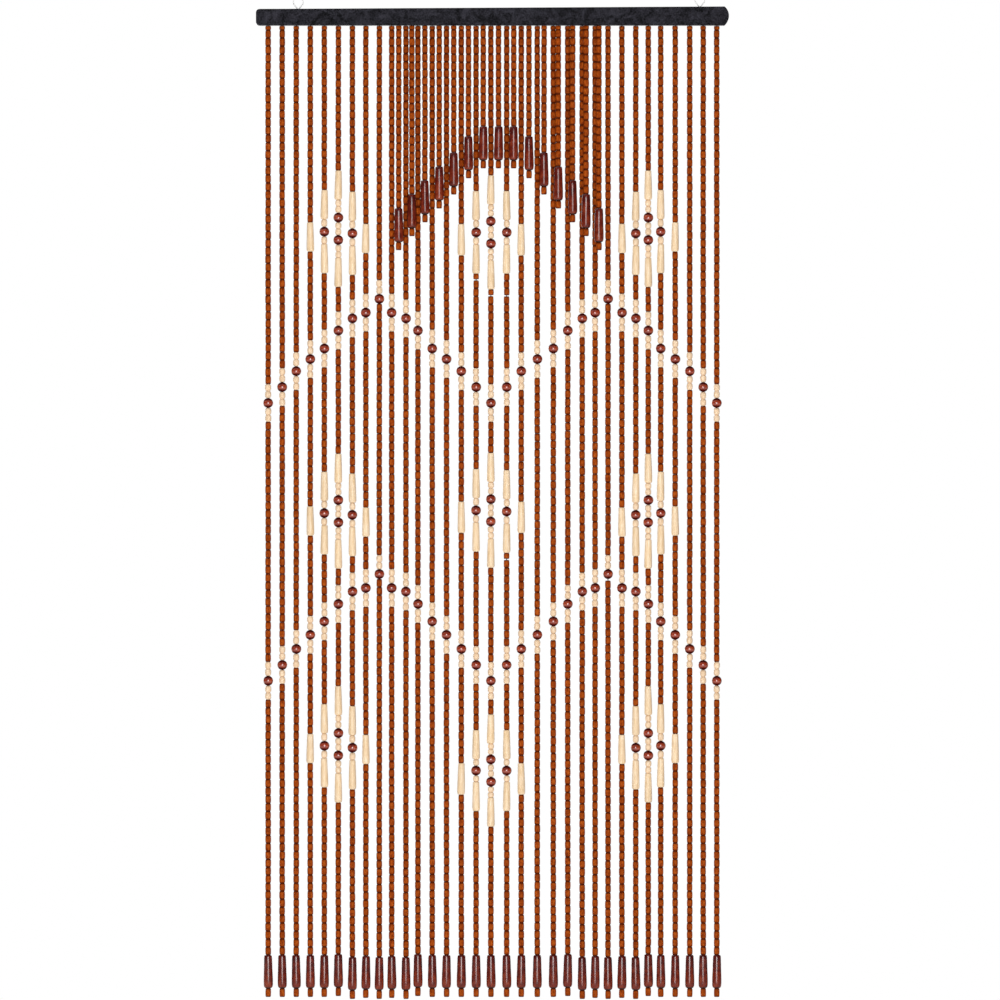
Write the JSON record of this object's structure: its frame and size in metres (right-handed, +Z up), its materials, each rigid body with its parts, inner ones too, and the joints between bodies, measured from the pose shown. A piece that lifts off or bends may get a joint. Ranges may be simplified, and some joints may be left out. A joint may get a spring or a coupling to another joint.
{
  "type": "bead curtain with hanging bar",
  "caption": "Doorway curtain of wooden beads on separate strings, with zigzags and diamonds, hanging from a slim black bar with two wire eyes.",
  "frame": {"origin": "the middle of the bar's flat back", "axes": "+X along the bar, to the right as seen from the front; +Y out of the bar's back, towards the wall; +Z up"},
  "size_m": [0.9, 0.034, 1.9128],
  "materials": {
    "bar_paint": "satin black paint on wood, finely mottled",
    "eye_wire": "white coated wire",
    "brown_beads": "orange-brown stained wood, satin",
    "pale_beads": "natural pale wood, satin",
    "red_beads": "red-brown stained wood under clear gloss lacquer",
    "string": "thin waxed cord"
  },
  "bodies": {
    "root": {"header_bar": "bar_paint", "hanger_left": "eye_wire", "hanger_right": "eye_wire", "long_strings": "brown_beads", "short_strings": "brown_beads"}
  },
  "joints": []
}
